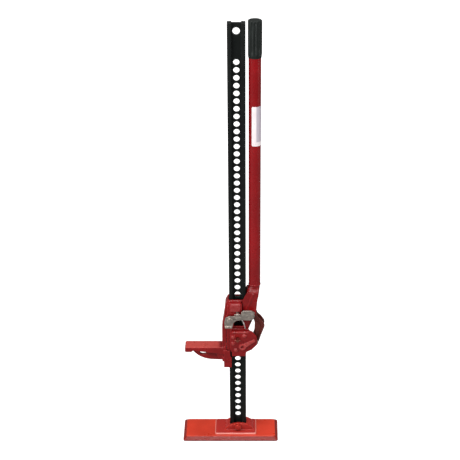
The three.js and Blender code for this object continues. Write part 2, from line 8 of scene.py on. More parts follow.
import bmesh
import bpy
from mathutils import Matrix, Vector


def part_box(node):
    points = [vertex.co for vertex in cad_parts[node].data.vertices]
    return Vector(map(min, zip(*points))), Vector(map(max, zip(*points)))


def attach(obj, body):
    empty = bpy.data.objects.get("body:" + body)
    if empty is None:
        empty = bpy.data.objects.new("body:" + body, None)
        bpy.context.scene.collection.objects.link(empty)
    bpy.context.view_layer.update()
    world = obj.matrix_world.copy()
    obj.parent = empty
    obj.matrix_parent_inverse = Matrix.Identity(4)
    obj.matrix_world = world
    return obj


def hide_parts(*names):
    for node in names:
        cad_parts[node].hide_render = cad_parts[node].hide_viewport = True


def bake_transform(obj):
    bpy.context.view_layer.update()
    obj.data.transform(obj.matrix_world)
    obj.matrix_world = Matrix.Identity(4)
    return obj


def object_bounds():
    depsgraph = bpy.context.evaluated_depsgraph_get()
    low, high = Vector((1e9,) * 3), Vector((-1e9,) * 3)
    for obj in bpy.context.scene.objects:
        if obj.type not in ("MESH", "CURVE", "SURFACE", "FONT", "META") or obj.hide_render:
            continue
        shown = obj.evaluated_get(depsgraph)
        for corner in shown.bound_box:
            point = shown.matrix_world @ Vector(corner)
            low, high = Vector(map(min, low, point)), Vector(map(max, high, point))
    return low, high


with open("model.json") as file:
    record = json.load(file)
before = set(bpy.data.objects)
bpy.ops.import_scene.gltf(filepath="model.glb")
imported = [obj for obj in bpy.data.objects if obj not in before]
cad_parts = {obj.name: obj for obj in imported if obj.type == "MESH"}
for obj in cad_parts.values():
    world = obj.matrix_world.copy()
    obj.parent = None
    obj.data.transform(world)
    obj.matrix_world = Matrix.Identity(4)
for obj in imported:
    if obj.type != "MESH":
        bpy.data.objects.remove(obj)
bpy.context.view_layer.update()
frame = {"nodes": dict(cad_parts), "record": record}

MM = 0.001
BODY_OF = {node: body for body, nodes in frame["record"]["behaviour"]["bodies"].items() for node in nodes}

# the bar's own sizes, in mm, which part.mjs has too; its place and length come from the frame
HOLE_PITCH, HOLE_FIRST, HOLE_COUNT, HOLE_RADIUS = 20.64, 61.0, 52, 8.0
TOP_HOLE_Z, TOP_HOLE_RADIUS = 1194.0, 9.5
BAR_FLANGE, BAR_HALF_WEB, BASE_BOLT_HOLE = 10.5, 3.5, 5.2

# how many sides round pieces have
BOSS_SIDES, ROUND_SIDES, HEX_SIDES, TUBE_SIDES, GRIP_SIDES = 32, 48, 72, 96, 280

# the smallest angle that shows as a sharp edge, in degrees
THREAD_SHARP, BAR_SHARP, USUAL_SHARP, SMOOTH_SHARP = 28, 30, 35, 40
GRIP_SHARP, WIRE_SHARP, CAST_SHARP = 45, 50, 60


# ---- meshes ----
def add_object(name, mesh):
    obj = bpy.data.objects.new(name, mesh)
    bpy.context.scene.collection.objects.link(obj)
    return obj


def mesh_from(name, verts, faces):
    """A mesh whose faces all look outwards."""
    mesh = bpy.data.meshes.new(name)
    mesh.from_pydata([tuple(v) for v in verts], [], faces)
    work = bmesh.new()
    work.from_mesh(mesh)
    bmesh.ops.recalc_face_normals(work, faces=work.faces)
    work.to_mesh(mesh)
    work.free()
    return mesh


def dress(obj, node, material, sharp_angle):
    """The piece takes the CAD node's place with the given material, and the CAD node is hidden."""
    obj.data.polygons.foreach_set("use_smooth", [True] * len(obj.data.polygons))
    obj.data.set_sharp_from_angle(angle=math.radians(sharp_angle))
    obj.data.materials.clear()
    obj.data.materials.append(material)
    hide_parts(node)


def stand_for(obj, node, material, sharp_angle):
    """The piece takes the CAD node's place with the given material, and rides on its body."""
    dress(obj, node, material, sharp_angle)
    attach(obj, BODY_OF[node])


def skin(rings, closed=False):
    """Verts and faces over rings of points. The ends are capped, or joined to each other if closed."""
    size = len(rings[0])
    verts = [point for ring in rings for point in ring]
    spans = len(rings) if closed else len(rings) - 1
    faces = []
    for level in range(spans):
        low, high = level * size, (level + 1) % len(rings) * size
        faces += [(low + i, low + (i + 1) % size, high + (i + 1) % size, high + i) for i in range(size)]
    if not closed:
        last = (len(rings) - 1) * size
        faces += [tuple(range(size)), tuple(range(last, last + size))]
    return verts, faces


def circle(radius, sides):
    """Pairs of numbers round a circle. radius is a number or a function of the angle."""
    at = radius if callable(radius) else lambda angle: radius
    turns = [2 * math.pi * i / sides for i in range(sides)]
    return [(at(a) * math.cos(a), at(a) * math.sin(a)) for a in turns]


def ring_x(x, y, z, radius, sides):
    return [(x, y + a, z + b) for a, b in circle(radius, sides)]


def ring_y(x, y, z, radius, sides):
    return [(x + a, y, z + b) for a, b in circle(radius, sides)]


def ring_z(x, z, radius, sides):
    return [(x + a, b, z) for a, b in circle(radius, sides)]


def bake_modifiers(obj):
    graph = bpy.context.evaluated_depsgraph_get()
    mesh = bpy.data.meshes.new_from_object(obj.evaluated_get(graph))
    obj.modifiers.clear()
    obj.data = mesh


def welded_copy(node, name):
    """The CAD node's own mesh, with its shared corners merged."""
    work = bmesh.new()
    work.from_mesh(frame["nodes"][node].data)
    bmesh.ops.remove_doubles(work, verts=work.verts, dist=0.01 * MM)
    bmesh.ops.recalc_face_normals(work, faces=work.faces)
    mesh = bpy.data.meshes.new(name)
    work.to_mesh(mesh)
    work.free()
    return mesh


def prism(outline, y0, y1):
    """A closed solid from an outline in X and Z, in metres."""
    return skin([[(x, y, z) for x, z in outline] for y in (y0, y1)])


def disc(x, z, y0, y1, radius, crown=0.6):
    """A round boss along Y, drawn in at its y0 end."""
    shoulder = 0.6 * y0 + 0.4 * y1
    profile = ((y0, crown * radius), (shoulder, radius), (y1, radius))
    return skin([ring_y(x, y, z, r, BOSS_SIDES) for y, r in profile])


def strip(spots, y0, y1):
    """Overlapping closed solids along a path of (x, z, half width) spots."""
    arc_steps = 12
    made = []
    for (ax, az, ar), (bx, bz, br) in zip(spots, spots[1:]):
        along = math.atan2(bz - az, bx - ax)
        lean = math.acos((ar - br) / math.hypot(bx - ax, bz - az))
        outline = []
        arcs = ((ax, az, ar, along + lean, 2 * math.pi - 2 * lean), (bx, bz, br, along - lean, 2 * lean))
        for cx, cz, r, start, turn in arcs:
            turns = [start + turn * i / arc_steps for i in range(arc_steps + 1)]
            outline += [(cx + r * math.cos(a), cz + r * math.sin(a)) for a in turns]
        made.append(prism(outline, y0, y1))
    return made


def gather(name, solids):
    """One mesh that holds several closed solids."""
    verts, faces = [], []
    for more_verts, more_faces in solids:
        faces += [tuple(i + len(verts) for i in face) for face in more_faces]
        verts += more_verts
    return mesh_from(name, verts, faces)


def cushion(x0, x1, z0, z1, y, proud):
    """A pillowed rectangular pad on a face at that Y, standing out towards the front by proud."""
    corner = 3.4 * MM
    # how far the outline draws in and how far it stands out, as shares of proud
    profile = [(0, -1.0), (0, 0.1), (0.25, 0.45), (0.6, 0.75), (1.1, 0.93), (1.7, 1.0)]
    rings = []
    for inset, rise in profile:
        d = inset * proud
        outline = box_outline(x0 + d, x1 - d, z0 + d, z1 - d, corner)
        rings.append([(x, y - rise * proud, z) for x, z in outline])
    return skin(rings)


def box_outline(x0, x1, z0, z1, corner):
    """A rectangle in X and Z with round corners."""
    points = []
    for cx, cz, start in ((x1, z1, 0), (x0, z1, 90), (x0, z0, 180), (x1, z0, 270)):
        px = cx - corner if cx == x1 else cx + corner
        pz = cz - corner if cz == z1 else cz + corner
        turns = [math.radians(start + 15 * i) for i in range(7)]
        points += [(px + corner * math.cos(a), pz + corner * math.sin(a)) for a in turns]
    return points


def distance_into(x, z, spots):
    """How far a point lies inside a path of (x, z, half width) spots. It is negative outside."""
    deepest = -1.0
    for (ax, az, ar), (bx, bz, br) in zip(spots, spots[1:]):
        run_x, run_z = bx - ax, bz - az
        t = ((x - ax) * run_x + (z - az) * run_z) / (run_x ** 2 + run_z ** 2)
        t = min(1.0, max(0.0, t))
        gap = math.hypot(x - ax - t * run_x, z - az - t * run_z)
        deepest = max(deepest, ar + (br - ar) * t - gap)
    return deepest


def press_pocket(mesh, spots, face, depth):
    """Presses a soft-edged pocket into the face at that Y."""
    near_face, soft_edge = 0.6 * MM, 1.6 * MM
    way = 1 if face < 0 else -1
    for vertex in mesh.vertices:
        if abs(vertex.co.y - face) < near_face:
            share = min(1.0, max(0.0, distance_into(vertex.co.x, vertex.co.z, spots) / soft_edge))
            vertex.co.y += way * depth * share * share * (3 - 2 * share)


def raise_parting_line(mesh):
    """A fine raised seam where the two halves of the mould met, except on the handle side."""
    height, half_width = 0.35, 0.9 * MM
    for vertex in mesh.vertices:
        share = 1 - abs(vertex.co.y) / half_width
        flat = Vector((vertex.normal.x, 0, vertex.normal.z))
        if share > 0 and flat.length > 0.8 and vertex.normal.x < 0.3:
            vertex.co += flat * (height * share * MM)


def cast_piece(node, material, voxel, rounding, added=(), pocket=None, seam=False):
    """A casting: the CAD shape with its ribs, pads and pocket, merged and softened along every edge.

    voxel is the size of the remesh in mm, and rounding is how many times it is smoothed.
    """
    core = welded_copy(node, node + "_core")
    obj = add_object(node + "_cast", core)
    if added:
        extra = gather(node + "_extra", added)
        work = bmesh.new()
        work.from_mesh(core)
        work.from_mesh(extra)
        work.to_mesh(core)
        work.free()
    remesh = obj.modifiers.new("merge", "REMESH")
    remesh.mode = "VOXEL"
    remesh.voxel_size = voxel * MM
    bake_modifiers(obj)
    soften = obj.modifiers.new("soften", "SMOOTH")
    soften.factor = 0.5
    soften.iterations = rounding
    bake_modifiers(obj)
    if pocket is not None:
        press_pocket(obj.data, *pocket)
    if seam:
        raise_parting_line(obj.data)
    thin = obj.modifiers.new("thin", "DECIMATE")
    thin.ratio = 0.4
    bake_modifiers(obj)
    stand_for(obj, node, material, CAST_SHARP)


# ---- materials ----
class Shader:
    """A material's node tree, with short ways to add to it."""

    def __init__(self, name):
        self.material = bpy.data.materials.new(name)
        self.material.use_nodes = True
        self.tree = self.material.node_tree
        self.tree.nodes.clear()
        output = self.add("ShaderNodeOutputMaterial")
        self.bsdf = self.add("ShaderNodeBsdfPrincipled")
        self.tree.links.new(self.bsdf.outputs[0], output.inputs["Surface"])
        self.place = self.add("ShaderNodeTexCoord").outputs["Object"]

    def add(self, kind, settings=None, **inputs):
        node = self.tree.nodes.new(kind)
        for key, value in (settings or {}).items():
            setattr(node, key, value)
        for key, value in inputs.items():
            self.feed(node.inputs[key.replace("_", " ")], value)
        return node

    def feed(self, socket, value):
        if isinstance(value, bpy.types.NodeSocket):
            self.tree.links.new(value, socket)
        else:
            socket.default_value = value

    def set(self, **inputs):
        for key, value in inputs.items():
            self.feed(self.bsdf.inputs[key.replace("_", " ")], value)

    def noise(self, scale, detail, rough=0.5, stretch=(1, 1, 1)):
        place = self.add("ShaderNodeMapping", Vector=self.place, Scale=stretch).outputs[0]
        made = self.add("ShaderNodeTexNoise", Vector=place, Scale=scale, Detail=detail, Roughness=rough)
        return made.outputs["Fac"]

    def spread(self, value, low, high, to_low=0.0, to_high=1.0):
        """Maps low..high smoothly to to_low..to_high, and keeps what is outside at the ends."""
        made = self.add("ShaderNodeMapRange", {"interpolation_type": "SMOOTHSTEP"})
        for index, item in enumerate((value, low, high, to_low, to_high)):
            self.feed(made.inputs[index], item)
        return made.outputs[0]

    def math(self, operation, a, b=0.0):
        made = self.add("ShaderNodeMath", {"operation": operation, "use_clamp": operation != "SUBTRACT"})
        self.feed(made.inputs[0], a)
        self.feed(made.inputs[1], b)
        return made.outputs[0]

    def mix(self, fac, a, b):
        made = self.add("ShaderNodeMix", {"data_type": "RGBA"})
        self.feed(made.inputs[0], fac)
        self.feed(made.inputs[6], a)
        self.feed(made.inputs[7], b)
        return made.outputs[2]

    def edges(self, radius):
        """High where the surface turns a corner within the radius, in mm."""
        rounded = self.add("ShaderNodeBevel", {"samples": 4}, Radius=radius * MM).outputs[0]
        flat = self.add("ShaderNodeNewGeometry").outputs["Normal"]
        dot = self.add("ShaderNodeVectorMath", {"operation": "DOT_PRODUCT"})
        self.feed(dot.inputs[0], rounded)
        self.feed(dot.inputs[1], flat)
        return self.spread(dot.outputs["Value"], 0.995, 0.9)

    def crevices(self, reach):
        """High in corners and gaps that little light gets into from within the reach, in mm."""
        made = self.add("ShaderNodeAmbientOcclusion", {"samples": 6}, Distance=reach * MM)
        return self.spread(made.outputs["AO"], 0.8, 0.2)

    def bump(self, height, strength, distance, under=None):
        """A bumped normal, with the distance in mm, on top of another one if there is one under it."""
        inputs = {"Height": height, "Strength": strength, "Distance": distance * MM}
        if under is not None:
            inputs["Normal"] = under
        return self.add("ShaderNodeBump", **inputs).outputs[0]


def scaled(colour, share):
    """A colour made lighter or darker."""
    return [min(1.0, share * c) for c in colour[:3]] + [1.0]


def grey(level):
    return level, level, level, 1


def enamel(name, deep, light, cast=True, gloss=0.24, chip=0.5, bands=(), rubbed=None, proud=None):
    """Glossy sprayed enamel with orange peel, handling marks, painted shade in the corners, a painted
    highlight along the edges and chipped edges.

    cast is whether the metal under it is rough, and chip is how far the edges are chipped, from 0 to 1.
    bands are (height, full height, colour) changes of tone. rubbed is (x, colour): a painted highlight, with
    paint rubbed where loads slide, on the faces that look up beyond that x on the nose side. proud is (y,
    colour): what stands out in front of the face at that y is paler in patches, a painted highlight and wear.
    """
    s = Shader(name)
    colour = s.mix(s.spread(s.noise(14, detail=4), 0.3, 0.7), deep, light)
    where = s.add("ShaderNodeSeparateXYZ", Vector=s.place).outputs
    for height, full, tone in bands:
        colour = s.mix(s.spread(where["Z"], height, full), colour, tone)
    # what stands out in front of the face is paler in patches: a painted highlight, and wear
    if proud is not None:
        face, tone = proud
        raised = s.spread(where["Y"], face - 0.4 * MM, face - 3.4 * MM)
        patches = s.spread(s.noise(75, detail=5, rough=0.65), 0.3, 0.65, 0.25, 1.0)
        colour = s.mix(s.math("MULTIPLY", raised, patches), colour, tone)
    # paler on the faces that look up on the nose: a painted highlight, and paint rubbed where loads slide
    if rubbed is not None:
        edge, tone = rubbed
        normal = s.add("ShaderNodeNewGeometry").outputs["Normal"]
        upward = s.spread(s.add("ShaderNodeSeparateXYZ", Vector=normal).outputs["Z"], 0.6, 0.95)
        beyond = s.math("MULTIPLY", upward, s.spread(where["X"], edge, edge - 12 * MM))
        colour = s.mix(beyond, colour, tone)
    specks = s.spread(s.noise(420, detail=3), 0.35, 0.75, 0.0, 0.25)
    colour = s.mix(specks, colour, scaled(deep, 0.6))
    # painted shade: darker in corners and gaps, where little light gets in
    colour = s.mix(s.math("MULTIPLY", s.crevices(13), 0.85), colour, scaled(deep, 0.12))
    scuffs = s.spread(s.noise(60, detail=6, rough=0.8, stretch=(1, 1, 0.12)), 0.66, 0.72, 0.0, 0.4)
    colour = s.mix(s.math("MULTIPLY", scuffs, 0.3), colour, scaled(light, 1.5))
    ridge = s.edges(2.4 if cast else 1.0)
    # painted highlight: paler along the edges; the same edge mask also places the chips below
    colour = s.mix(s.math("MULTIPLY", ridge, 0.55 if cast else 0.25), colour, scaled(light, 2.0))
    flakes = s.spread(s.noise(230, detail=5, rough=0.7), 0.74 - 0.24 * chip, 0.8 - 0.22 * chip)
    chips = s.math("MULTIPLY", ridge, flakes)
    s.set(Base_Color=s.mix(chips, colour, CHIPPED_METAL))
    s.set(Metallic=s.math("MULTIPLY", chips, 0.7))
    worn = s.math("MAXIMUM", s.math("MULTIPLY", chips, 0.5), s.math("MULTIPLY", scuffs, 0.7))
    smooth = s.spread(s.noise(35, detail=4), 0.3, 0.7, gloss, gloss + 0.12)
    s.set(Roughness=s.math("MAXIMUM", smooth, worn))
    s.set(Coat_Weight=0.12, Coat_Roughness=0.08, Specular_IOR_Level=0.3)
    normal = s.bump(s.noise(700, detail=2), 0.2 if cast else 0.1, 0.05)
    if cast:
        normal = s.bump(s.noise(260, detail=5, rough=0.65), 0.4, 0.22, normal)
    s.set(Normal=s.bump(s.math("SUBTRACT", 1.0, chips), 0.6, 0.12, normal))
    return s.material


def black_paint():
    """Semi-gloss black on a rolled bar, rubbed on its edges and round the climbing holes."""
    s = Shader("bar_black")
    rolled = s.noise(18, detail=5, rough=0.6, stretch=(1, 1, 0.08))
    colour = s.mix(s.spread(rolled, 0.3, 0.7), BAR_DEEP, BAR_LIGHT)
    ridge = s.edges(0.9)
    rub = s.math("MULTIPLY", ridge, s.spread(s.noise(95, detail=5, rough=0.7), 0.42, 0.6))
    colour = s.mix(s.math("MULTIPLY", rub, 0.75), colour, BAR_RUBBED)
    drag = s.spread(s.noise(90, detail=5, rough=0.75, stretch=(1, 1, 0.05)), 0.62, 0.72, 0.0, 0.6)
    s.set(Base_Color=s.mix(s.math("MULTIPLY", drag, 0.35), colour, BAR_SCRATCHED))
    s.set(Metallic=s.math("MULTIPLY", rub, 0.6))
    smooth = s.spread(s.noise(40, detail=4), 0.3, 0.7, 0.36, 0.5)
    s.set(Roughness=s.math("MAXIMUM", smooth, s.math("MULTIPLY", drag, 0.6)))
    s.set(Specular_IOR_Level=0.18, Coat_Weight=0.05, Coat_Roughness=0.25)
    scale = s.bump(s.noise(300, detail=4, rough=0.6), 0.3, 0.08)
    s.set(Normal=s.bump(s.math("SUBTRACT", 1.0, rub), 0.4, 0.08, scale))
    return s.material


def plated(name, pale, dull, rough, wear):
    """Zinc plating or bare steel: cloudy, brighter on rubbed edges."""
    s = Shader(name)
    clouds = s.spread(s.noise(120, detail=5, rough=0.65), 0.35, 0.68)
    colour = s.mix(clouds, dull, pale)
    colour = s.mix(s.math("MULTIPLY", s.edges(0.5), wear), colour, scaled(pale, 1.25))
    grime = s.spread(s.noise(45, detail=6, rough=0.7), 0.58, 0.75, 0.0, 0.55)
    s.set(Base_Color=s.mix(grime, colour, scaled(dull, 0.35)), Metallic=0.92)
    smooth = s.spread(clouds, 0.0, 1.0, rough, rough + 0.16)
    s.set(Roughness=s.math("ADD", smooth, s.math("MULTIPLY", grime, 0.25)))
    brushed = s.bump(s.noise(900, detail=3, rough=0.6, stretch=(1, 0.15, 1)), 0.18, 0.05)
    s.set(Normal=s.bump(s.noise(350, detail=3), 0.2, 0.06, brushed))
    return s.material


def grip_rubber():
    """Dark grey moulded rubber, dusty on the ribs, with painted shade between them."""
    s = Shader("grip_rubber")
    tone = s.spread(s.noise(30, detail=5, rough=0.6), 0.3, 0.7)
    colour = s.mix(tone, RUBBER_DEEP, RUBBER_LIGHT)
    # painted shade: near black between the ribs
    colour = s.mix(s.crevices(4), colour, RUBBER_GROOVE_SHADE)
    dusty = s.spread(s.noise(70, detail=5, rough=0.7, stretch=(1, 1, 0.3)), 0.35, 0.65)
    dust = s.math("MULTIPLY", s.edges(0.8), dusty)
    s.set(Base_Color=s.mix(s.math("MULTIPLY", dust, 0.85), colour, RUBBER_DUST))
    s.set(Roughness=s.spread(s.noise(55, detail=4), 0.3, 0.7, 0.42, 0.6), Specular_IOR_Level=0.2)
    pores = s.bump(s.noise(1400, detail=2), 0.35, 0.08)
    s.set(Normal=s.bump(s.noise(240, detail=4), 0.2, 0.12, pores))
    return s.material


def label_film(centre_x, low, high):
    """A blank pale label: a light field, greyer on its right side above its lowest tenth as painted shade,
    and no lettering.
    """
    s = Shader("label_film")
    parts = s.add("ShaderNodeSeparateXYZ", Vector=s.place)
    x, z = parts.outputs["X"], parts.outputs["Z"]
    tone = s.spread(s.noise(40, detail=4), 0.3, 0.7)
    paper = s.mix(tone, LABEL_DULL, LABEL_PALE)
    # painted shade: the label is greyer on its right side
    right = s.spread(x, centre_x + 3 * MM, centre_x + 5 * MM)
    height = high - low
    right_shade = s.math("MULTIPLY", right, s.spread(z, low + 0.1 * height, low + 0.11 * height))
    paper = s.mix(s.math("MULTIPLY", right_shade, 0.8), paper, LABEL_RIGHT_SHADE)
    scuff = s.spread(s.noise(160, detail=6, rough=0.75), 0.62, 0.7, 0.0, 0.45)
    s.set(Base_Color=s.mix(scuff, paper, LABEL_SCUFFED))
    s.set(Roughness=s.spread(s.noise(60, detail=3), 0.3, 0.7, 0.32, 0.5))
    s.set(Normal=s.bump(s.noise(180, detail=4), 0.15, 0.06))
    return s.material


def floor_paint():
    """Pale paper, which reflects less light back on the object than the camera sees."""
    s = Shader("floor_paint")
    seen = s.add("ShaderNodeLightPath").outputs["Is Camera Ray"]
    paper = s.mix(s.noise(1.5, detail=3), grey(0.80), grey(0.84))
    s.set(Base_Color=s.mix(seen, grey(0.22), paper), Emission_Color=grey(1))
    s.set(Roughness=s.spread(s.noise(3, detail=3), 0.3, 0.7, 0.8, 0.95))
    away = s.add("ShaderNodeVectorMath", {"operation": "LENGTH"}, Vector=s.place).outputs["Value"]
    s.set(Emission_Strength=s.math("MULTIPLY", seen, s.spread(away, 0.6, 3.0, 0.42, 1.0)))
    return s.material


def base_enamel():
    """The base's orange-red enamel, with painted shade on the sloped rim, a painted highlight along the
    platform's chamfer, and darker on the platform and boss.
    """
    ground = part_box("base_plate")[0].z
    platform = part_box("standard_bar")[0].z + 7.5 * MM
    # painted shade on the sloped rim
    bands = [(ground + 11.5 * MM, ground + 10.5 * MM, BASE_RIM_SHADE),
             # painted highlight along the platform's chamfer
             (platform, platform + 1.2 * MM, BASE_CHAMFER_HIGHLIGHT),
             (platform + 3.2 * MM, platform + 4 * MM, BASE_PLATFORM)]
    return enamel("base_enamel", BASE_DEEP, BASE_LIGHT, gloss=0.26, chip=0.4, bands=bands)


# colours, as linear red, green and blue with an alpha of 1
CHIPPED_METAL = (0.15, 0.13, 0.12, 1)
CAST_DEEP, CAST_LIGHT = (0.17, 0.004, 0.005, 1), (0.27, 0.007, 0.008, 1)
TUBE_DEEP, TUBE_LIGHT = (0.21, 0.0035, 0.0055, 1), (0.27, 0.005, 0.0075, 1)
# the pitmans' darker, browner copy of the red enamel is painted shade
PLATE_SHADE_DEEP, PLATE_SHADE_LIGHT = (0.075, 0.010, 0.007, 1), (0.12, 0.018, 0.012, 1)
# the nose top's paler red: a painted highlight, and rubbed paint
NOSE_HIGHLIGHT_AND_RUB = (0.42, 0.055, 0.045, 1)
# the paler red of raised pads and bosses: a painted highlight, and wear
RAISED_HEAD_HIGHLIGHT_AND_WEAR, RAISED_SMALL_HIGHLIGHT_AND_WEAR = (0.36, 0.055, 0.055, 1), (0.42, 0.06, 0.055, 1)
BASE_DEEP, BASE_LIGHT = (0.46, 0.030, 0.012, 1), (0.58, 0.042, 0.018, 1)
# painted shade for the base's sloped rim, and a painted highlight for its platform's chamfer
BASE_RIM_SHADE, BASE_CHAMFER_HIGHLIGHT = (0.20, 0.010, 0.006, 1), (0.64, 0.20, 0.165, 1)
BASE_PLATFORM = (0.38, 0.020, 0.015, 1)
BAR_DEEP, BAR_LIGHT = (0.003, 0.0042, 0.0042, 1), (0.008, 0.0095, 0.0085, 1)
BAR_RUBBED, BAR_SCRATCHED = (0.07, 0.067, 0.06, 1), (0.025, 0.023, 0.02, 1)
ZINC_PALE, ZINC_DULL = (0.56, 0.49, 0.43, 1), (0.34, 0.30, 0.265, 1)
SPRAYED_PALE, SPRAYED_DULL = (0.42, 0.13, 0.09, 1), (0.27, 0.06, 0.045, 1)
WIRE_PALE, WIRE_DULL = (0.92, 0.84, 0.82, 1), (0.70, 0.62, 0.60, 1)
RUBBER_DEEP, RUBBER_LIGHT = (0.0045, 0.0065, 0.0055, 1), (0.010, 0.0135, 0.012, 1)
# near black painted shade between the grip's ribs, and the colour of dust on them
RUBBER_GROOVE_SHADE, RUBBER_DUST = (0.0008, 0.001, 0.001, 1), (0.085, 0.092, 0.09, 1)
LABEL_DULL, LABEL_PALE = (0.80, 0.70, 0.72, 1), (0.88, 0.80, 0.80, 1)
# the grey of the label's right side is painted shade
LABEL_RIGHT_SHADE, LABEL_SCUFFED = (0.42, 0.38, 0.45, 1), (0.45, 0.36, 0.36, 1)

# the Y of the front faces that bosses and pads stand out from
SMALL_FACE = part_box("small_runner")[0].y + 4 * MM
HEAD_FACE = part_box("large_runner")[0].y + 3.7 * MM

RED_SMALL = enamel("red_enamel_small_runner", CAST_DEEP, CAST_LIGHT, proud=(SMALL_FACE, RAISED_SMALL_HIGHLIGHT_AND_WEAR))
RED_NOSE = enamel("red_enamel_large_runner", CAST_DEEP, CAST_LIGHT,
                  rubbed=(-46 * MM, NOSE_HIGHLIGHT_AND_RUB), proud=(HEAD_FACE, RAISED_HEAD_HIGHLIGHT_AND_WEAR))
RED_SOCKET = enamel("red_enamel_socket", CAST_DEEP, CAST_LIGHT, cast=False, gloss=0.26, chip=0.0)
RED_TUBE = enamel("red_enamel_tube", TUBE_DEEP, TUBE_LIGHT, cast=False, gloss=0.2, chip=0.0)
# the pitmans' enamel, darkened as painted shade
RED_PLATE_SHADE = enamel("red_enamel_plate", PLATE_SHADE_DEEP, PLATE_SHADE_LIGHT)
BASE_RED = base_enamel()
BLACK = black_paint()
ZINC = plated("zinc_plate", ZINC_PALE, ZINC_DULL, rough=0.36, wear=0.15)
SPRAYED_STEEL = plated("sprayed_steel", SPRAYED_PALE, SPRAYED_DULL, rough=0.3, wear=0.3)
WIRE = plated("spring_wire", WIRE_PALE, WIRE_DULL, rough=0.3, wear=0.5)
RUBBER = grip_rubber()


# ---- bar ----
def bar_section():
    """Half of the I-section's outline on +X, from the web's front to its back, in mm, with rolled corners."""
    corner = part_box("standard_bar")[1]
    half_x, half_y = corner.x / MM, corner.y / MM
    inner, web = half_x - BAR_FLANGE, BAR_HALF_WEB
    fillet, nose, steps = 2.2, 1.3, 5
    points = []

    def arc(cx, cy, radius, start, end):
        for i in range(steps + 1):
            angle = math.radians(start + (end - start) * i / steps)
            points.append((cx + radius * math.cos(angle), cy + radius * math.sin(angle)))

    arc(inner - fillet, -web - fillet, fillet, 90, 0)
    arc(inner + nose, nose - half_y, nose, 180, 270)
    arc(half_x - nose, nose - half_y, nose, 270, 360)
    arc(half_x - nose, half_y - nose, nose, 0, 90)
    arc(inner + nose, half_y - nose, nose, 90, 180)
    arc(inner - fillet, web + fillet, fillet, 0, -90)
    return points


def hole_cutter(z, radius):
    """What is cut out of the web for one hole, with a chamfer at both ends. z and radius are in mm."""
    chamfer, sides = 0.7, 40
    reach, face, wide = BAR_HALF_WEB + 2, BAR_HALF_WEB + 0.01, radius + chamfer
    profile = [(-reach, wide), (-face, wide), (chamfer - BAR_HALF_WEB, radius),
               (BAR_HALF_WEB - chamfer, radius), (face, wide), (reach, wide)]
    return skin([ring_y(0, y * MM, z * MM, r * MM, sides) for y, r in profile])


def make_bar():
    low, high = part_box("standard_bar")
    right = bar_section()
    outline = right + [(-x, -y) for x, y in right]
    edge, drawn_in = 0.8 * MM, 0.985
    levels = [(low.z, drawn_in), (low.z + edge, 1), (high.z - edge, 1), (high.z, drawn_in)]
    rings = [[(x * k * MM, y * k * MM, z) for x, y in outline] for z, k in levels]
    bar = add_object("bar_rolled", mesh_from("bar_rolled", *skin(rings)))
    holes = [(HOLE_FIRST + i * HOLE_PITCH, HOLE_RADIUS) for i in range(HOLE_COUNT)]
    bolt_low, bolt_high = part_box("base_bolt")
    holes += [(TOP_HOLE_Z, TOP_HOLE_RADIUS), ((bolt_low.z + bolt_high.z) / 2 / MM, BASE_BOLT_HOLE)]
    cutter = add_object("bar_cutter", gather("bar_cutter", [hole_cutter(z, radius) for z, radius in holes]))
    drill = bar.modifiers.new("drill", "BOOLEAN")
    drill.object = cutter
    drill.operation = "DIFFERENCE"
    drill.solver = "EXACT"
    bake_modifiers(bar)
    bpy.data.objects.remove(cutter)
    stand_for(bar, "standard_bar", BLACK, BAR_SHARP)


# ---- castings and pressings ----
# how far the runners' raised pads stand out
RAISED_PROUD = 2.4 * MM


def make_base():
    cast_piece("base_plate", BASE_RED, voxel=1.0, rounding=3)


def make_large_runner():
    """Adds a pillowed pad on the front block and a round boss beside the pivot lug on each side."""
    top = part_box("large_runner")[1].z
    pivot_x, pivot_z, _, _ = axis_of("pivot_bolt")
    pad = cushion(-21 * MM, 9 * MM, top - 28 * MM, top - 4 * MM, HEAD_FACE, RAISED_PROUD)
    boss_x, boss_z, outer, inner = pivot_x - 14 * MM, pivot_z + 22 * MM, 19.6 * MM, 17 * MM
    bosses = [disc(boss_x, boss_z, side * outer, side * inner, 5 * MM) for side in (-1, 1)]
    cast_piece("large_runner", RED_NOSE, voxel=0.9, rounding=4, added=[pad, *bosses], seam=True)


def make_small_runner():
    """Adds the round bosses and the top lip on the front."""
    _, pin_z, _, _ = axis_of("lower_climbing_pin")
    outer, inner = SMALL_FACE - 3.2 * MM, SMALL_FACE + MM
    spots = [(18.9, 7.3, 6.2), (-13.0, 4, 5.6), (-12.5, -17, 5.6), (-4.4, -37.5, 5.4)]
    bosses = [disc(x * MM, pin_z + z * MM, outer, inner, r * MM, crown=0.5) for x, z, r in spots]
    lip = cushion(-18 * MM, 31 * MM, pin_z + 15.6 * MM, pin_z + 22.4 * MM, SMALL_FACE, RAISED_PROUD)
    cast_piece("small_runner", RED_SMALL, voxel=0.7, rounding=2, added=[*bosses, lip], seam=True)


def make_socket():
    """Adds a rib on each cheek and a ring round each pivot eye."""
    half_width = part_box("handle_socket")[1].y
    pivot_x, pivot_z, _, _ = axis_of("pivot_bolt")
    rib = [(pivot_x + x * MM, pivot_z + z * MM) for x, z in ((-10, 18), (-6, 18), (14, 70), (9, 70))]
    added = []
    for side in (-1, 1):
        face = side * half_width
        added.append(prism(rib, face + side * 1.6 * MM, face - side * 3 * MM))
        outer, inner = face + side * 0.15 * MM, face - side * 2 * MM
        added.append(disc(pivot_x, pivot_z, outer, inner, 11.2 * MM, crown=0.97))
    cast_piece("handle_socket", RED_SOCKET, voxel=0.8, rounding=6, added=added)


